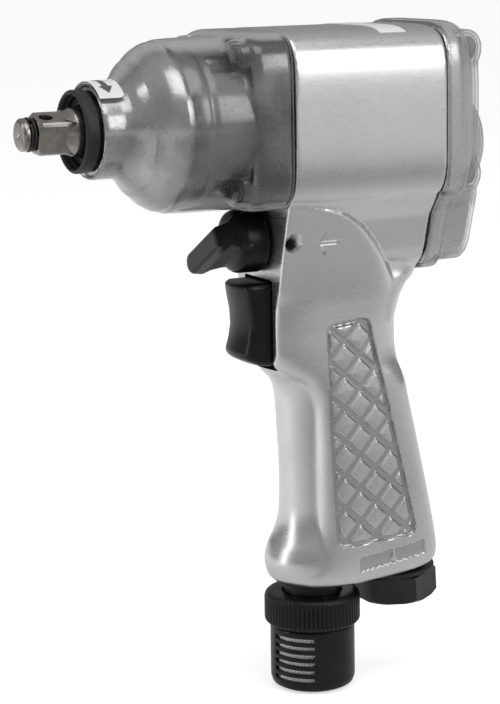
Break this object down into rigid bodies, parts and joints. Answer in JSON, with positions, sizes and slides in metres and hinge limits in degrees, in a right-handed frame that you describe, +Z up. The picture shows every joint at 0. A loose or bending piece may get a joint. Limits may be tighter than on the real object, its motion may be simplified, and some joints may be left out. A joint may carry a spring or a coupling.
{
  "type": "air impact wrench",
  "caption": "Pistol-grip air impact wrench with square drive, clear front and rear protectors, reverse lever, trigger, swivelling exhaust silencer and threaded air inlet.",
  "frame": {"origin": "centre of the square drive's end face", "axes": "+X along the drive axis out of the nose, +Y the tool's left side as held, +Z up, with the grip hanging down"},
  "size_m": [0.1428, 0.0506, 0.1976],
  "materials": {
    "cast_aluminium": "bead-blasted and brushed",
    "clear_vinyl": "clear, slightly cloudy",
    "steel": "ground",
    "black_steel": "black oxide",
    "grey_iron": "ground",
    "bronze": "bronze, satin",
    "brass": "brass, satin",
    "rubber": "matt",
    "fibre": "matt",
    "vane_composite": "matt",
    "black_plastic": "satin"
  },
  "bodies": {
    "root": {"motor_housing": "cast_aluminium", "hammer_case": "cast_aluminium", "rear_cover": "cast_aluminium", "front_protector": "clear_vinyl", "rear_protector": "clear_vinyl", "cage_washer": "steel", "front_bearing_outer": "steel", "rear_bearing_outer": "steel", "dowel_pin": "steel", "detent_ball": "steel", "throttle_spring": "steel", "case_bolt_1": "black_steel", "case_bolt_2": "black_steel", "case_bolt_3": "black_steel", "case_bolt_4": "black_steel", "rear_bolt_1": "black_steel", "rear_bolt_2": "black_steel", "rear_bolt_3": "black_steel", "rear_bolt_4": "black_steel", "detent_screw": "black_steel", "inlet_bushing": "black_steel", "inlet_washer": "black_steel", "front_end_plate": "grey_iron", "rear_end_plate": "grey_iron", "motor_cylinder": "grey_iron", "anvil_bushing": "bronze", "trigger_guide": "bronze", "valve_seat": "brass", "inlet_screen": "brass", "nose_bumper": "rubber", "front_gasket": "fibre", "rear_gasket": "fibre", "exhaust_adapter": "black_plastic"},
    "drive": {"anvil": "steel", "retainer_ring": "steel", "retainer_o_ring": "rubber"},
    "rotor": {"rotor": "steel", "vane_1": "vane_composite", "vane_2": "vane_composite", "vane_3": "vane_composite", "vane_4": "vane_composite", "vane_5": "vane_composite", "hammer_cage": "steel", "hammer_pin_1": "steel", "hammer_pin_2": "steel", "front_bearing_inner": "steel", "rear_bearing_inner": "steel"},
    "front_hammer": {"front_hammer": "steel"},
    "rear_hammer": {"rear_hammer": "steel"},
    "front_balls": {"front_bearing_balls": "bronze"},
    "rear_balls": {"rear_bearing_balls": "bronze"},
    "reverse": {"reverse_lever": "black_plastic", "reverse_valve": "bronze"},
    "trigger": {"trigger": "black_plastic", "trigger_rod": "steel"},
    "throttle": {"throttle_valve": "steel"},
    "silencer": {"silencer_collar": "black_plastic", "silencer_sleeve": "black_plastic", "silencer_mesh": "steel"},
    "regulator": {"power_regulator": "black_steel"}
  },
  "joints": [
    {"name": "rotor_spin", "type": "hinge", "parent": "root", "child": "rotor", "pos_m": [-0.094, 0, 0], "axis": [1, 0, 0], "continuous": true},
    {"name": "drive_spin", "type": "hinge", "parent": "root", "child": "drive", "pos_m": [0, 0, 0], "axis": [1, 0, 0], "continuous": true},
    {"name": "front_ball_spin", "type": "hinge", "parent": "root", "child": "front_balls", "pos_m": [-0.076, 0, 0], "axis": [1, 0, 0], "continuous": true},
    {"name": "rear_ball_spin", "type": "hinge", "parent": "root", "child": "rear_balls", "pos_m": [-0.112, 0, 0], "axis": [1, 0, 0], "continuous": true},
    {"name": "front_hammer_rock", "type": "hinge", "parent": "rotor", "child": "front_hammer", "pos_m": [-0.0478, 0, 0.01425], "axis": [1, 0, 0], "range_deg": [0, 8.5]},
    {"name": "rear_hammer_rock", "type": "hinge", "parent": "rotor", "child": "rear_hammer", "pos_m": [-0.0572, 0, -0.01425], "axis": [1, 0, 0], "range_deg": [0, 8.5]},
    {"name": "reverse_turn", "type": "hinge", "parent": "root", "child": "reverse", "pos_m": [-0.072, 0, -0.034], "axis": [1, 0, 0], "range_deg": [0, 118]},
    {"name": "trigger_slide", "type": "slide", "parent": "root", "child": "trigger", "axis": [-1, 0, 0], "range_m": [0, 0.006], "stiffness_N_per_m": 1500, "springref_m": -0.002},
    {"name": "throttle_tilt", "type": "hinge", "parent": "root", "child": "throttle", "pos_m": [-0.09898, 0, -0.07505], "axis": [0, -1, 0], "range_deg": [0, 19.3], "deforming": ["throttle_spring"]},
    {"name": "silencer_swivel", "type": "hinge", "parent": "root", "child": "silencer", "pos_m": [-0.0889, 0, -0.151], "axis": [0, 0, 1], "continuous": true},
    {"name": "regulator_turn", "type": "hinge", "parent": "root", "child": "regulator", "pos_m": [-0.1346, 0, -0.036], "axis": [1, 0, 0], "range_deg": [0, 180]}
  ],
  "couplings": [
    {"joint": "drive_spin", "follows": "rotor_spin", "ratio": 1},
    {"joint": "front_ball_spin", "follows": "rotor_spin", "ratio": 0.456},
    {"joint": "rear_ball_spin", "follows": "rotor_spin", "ratio": 0.456},
    {"joint": "throttle_tilt", "follows": "trigger_slide", "rad_per_m": 55.8}
  ]
}
